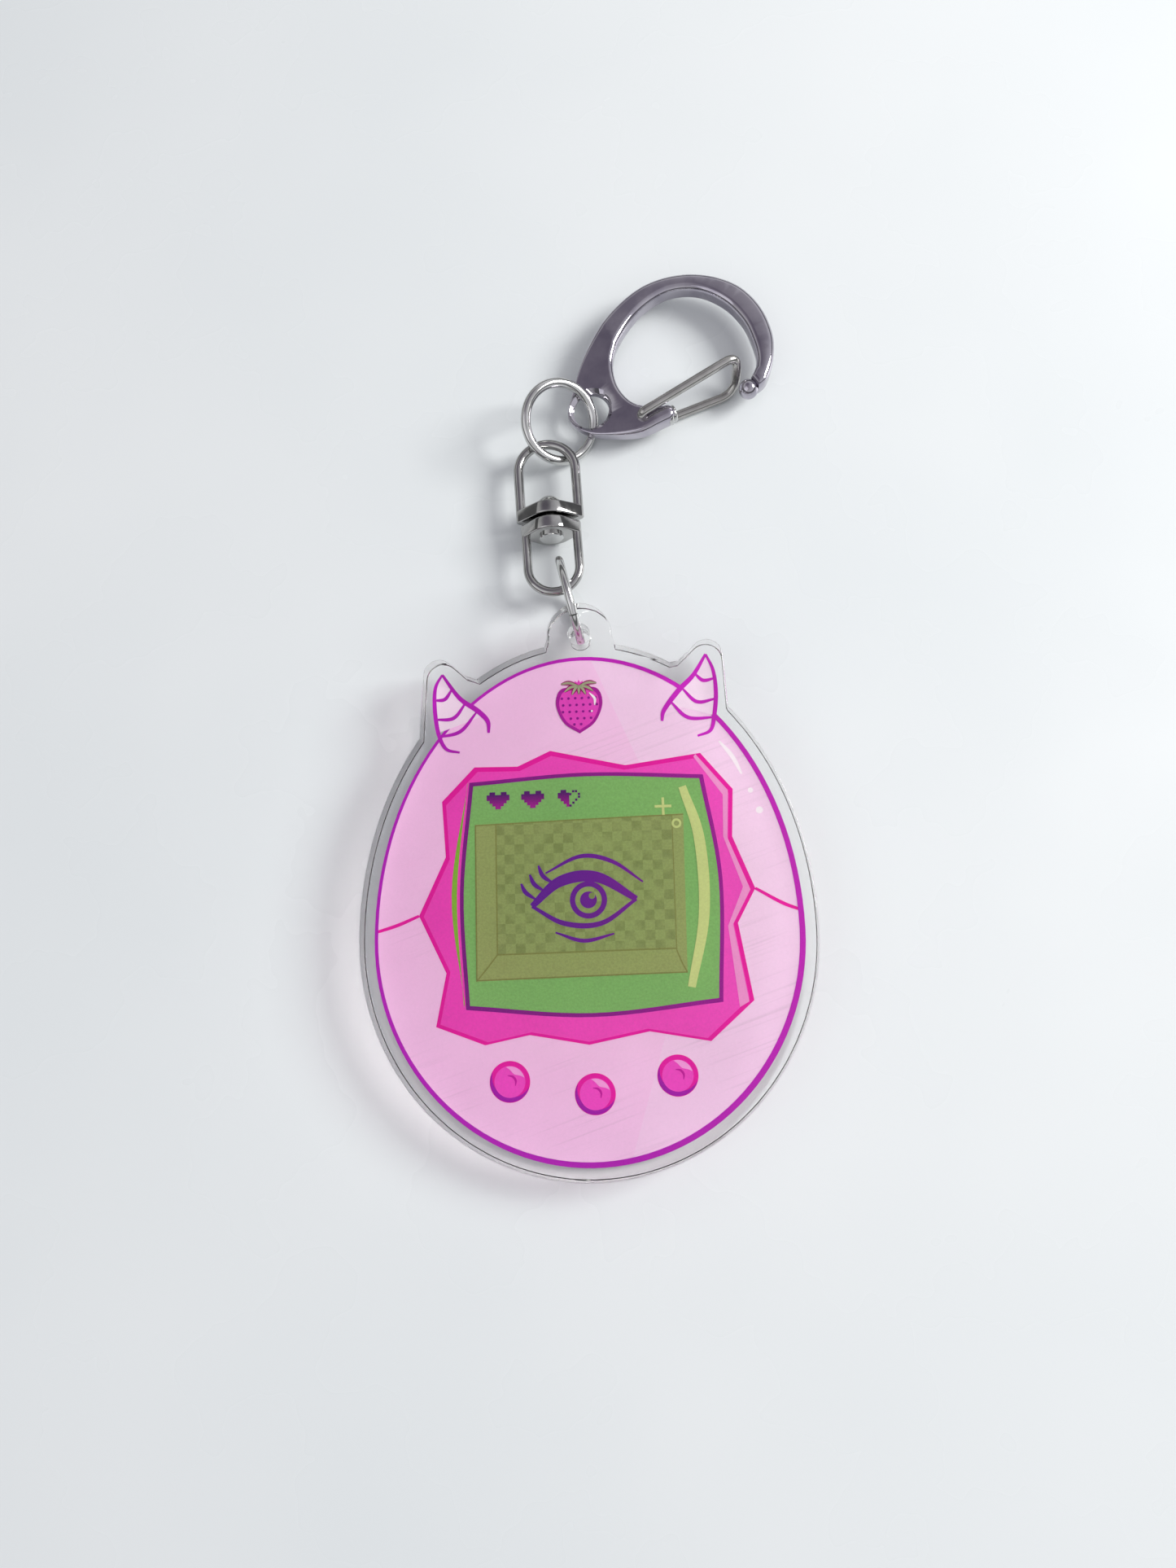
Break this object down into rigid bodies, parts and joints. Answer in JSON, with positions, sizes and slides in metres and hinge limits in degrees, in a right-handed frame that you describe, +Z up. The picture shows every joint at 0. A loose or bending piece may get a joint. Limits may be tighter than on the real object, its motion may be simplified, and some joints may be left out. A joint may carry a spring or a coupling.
{
  "type": "virtual pet keychain",
  "caption": "Clear acrylic keyring charm printed with an egg-shaped virtual pet, hung on a jump ring, a looped swivel, a link ring and a D clasp with a sprung wire gate",
  "frame": {"origin": "Middle of the overall box, on the table that the keychain lies on", "axes": "+Z up from the table, out of the printed face. +Y from the charm's lower edge towards the clasp, +X to the viewer's right"},
  "size_m": [0.051, 0.108, 0.0109],
  "materials": {
    "front_sheet": "clear cast acrylic, polished face and laser-cut edge",
    "back_sheet": "clear cast acrylic, polished",
    "bonding_film": "clear adhesive film",
    "white_underbase": "white printing ink",
    "body_print": "printed ink, pale pink",
    "outline_print": "printed ink, purple",
    "horn_prints": "printed ink, very pale pink",
    "bezel_edge_print": "printed ink, magenta",
    "bezel_print": "printed ink, hot pink",
    "screen_frame_print": "printed ink, dark purple",
    "screen_print": "printed ink, green",
    "room_print": "printed ink, khaki",
    "eye_print": "printed ink, dark violet",
    "heart_prints": "printed ink, purple",
    "glare_print": "printed ink, pale yellow-green",
    "strawberry_print": "printed ink, magenta red",
    "button_prints": "printed ink, hot pink",
    "highlight_prints": "printed ink, near white",
    "jump_ring": "bright nickel plate",
    "swivel_lower_loop": "bright nickel plate",
    "swivel_rivet": "bright nickel plate",
    "swivel_upper_loop": "bright nickel plate",
    "link_ring": "bright nickel plate",
    "clasp_body": "polished plated zinc casting",
    "clasp_gate": "drawn spring steel wire"
  },
  "bodies": {
    "charm": {"front_sheet": "front_sheet", "back_sheet": "back_sheet", "bonding_film": "bonding_film", "white_underbase": "white_underbase", "body_print": "body_print", "outline_print": "outline_print", "horn_prints": "horn_prints", "bezel_edge_print": "bezel_edge_print", "bezel_print": "bezel_print", "screen_frame_print": "screen_frame_print", "screen_print": "screen_print", "room_print": "room_print", "eye_print": "eye_print", "heart_prints": "heart_prints", "glare_print": "glare_print", "strawberry_print": "strawberry_print", "button_prints": "button_prints", "highlight_prints": "highlight_prints"},
    "jump_ring": {"jump_ring": "jump_ring"},
    "swivel_lower": {"swivel_lower_loop": "swivel_lower_loop", "swivel_rivet": "swivel_rivet"},
    "swivel_upper": {"swivel_upper_loop": "swivel_upper_loop"},
    "link_ring": {"link_ring": "link_ring"},
    "clasp": {"clasp_body": "clasp_body"},
    "gate": {"clasp_gate": "clasp_gate"}
  },
  "joints": [
    {"name": "jump_ring_swing", "type": "hinge", "parent": "charm", "child": "jump_ring", "pos_m": [-0.00097, 0.01095, 0.00545], "axis": [0.9744, 0.2248, 0.0083], "range_deg": [-30, 60]},
    {"name": "loop_sway", "type": "hinge", "parent": "jump_ring", "child": "swivel_lower", "pos_m": [-0.00305, 0.01632, 0.0029], "axis": [-0.0014, 0.0261, 0.9997], "range_deg": [-30, 30]},
    {"name": "swivel_spin", "type": "hinge", "parent": "swivel_lower", "child": "swivel_upper", "pos_m": [-0.00336, 0.02221, 0.00275], "axis": [-0.0523, 0.9983, -0.0262], "continuous": true},
    {"name": "link_ring_sway", "type": "hinge", "parent": "swivel_upper", "child": "link_ring", "pos_m": [-0.00372, 0.02905, 0.00257], "axis": [-0.0014, 0.0261, 0.9997], "range_deg": [-20, 45]},
    {"name": "clasp_slide", "type": "hinge", "parent": "link_ring", "child": "clasp", "pos_m": [-0.00191, 0.03505, 0.00337], "axis": [0.4918, -0.3444, 0.7997], "range_deg": [-15, 40]},
    {"name": "gate_hinge", "type": "hinge", "parent": "clasp", "child": "gate", "pos_m": [0.00808, 0.03493, 0.0026], "axis": [0, 0, 1], "range_deg": [0, 25], "stiffness_Nm_per_rad": 0.02}
  ]
}
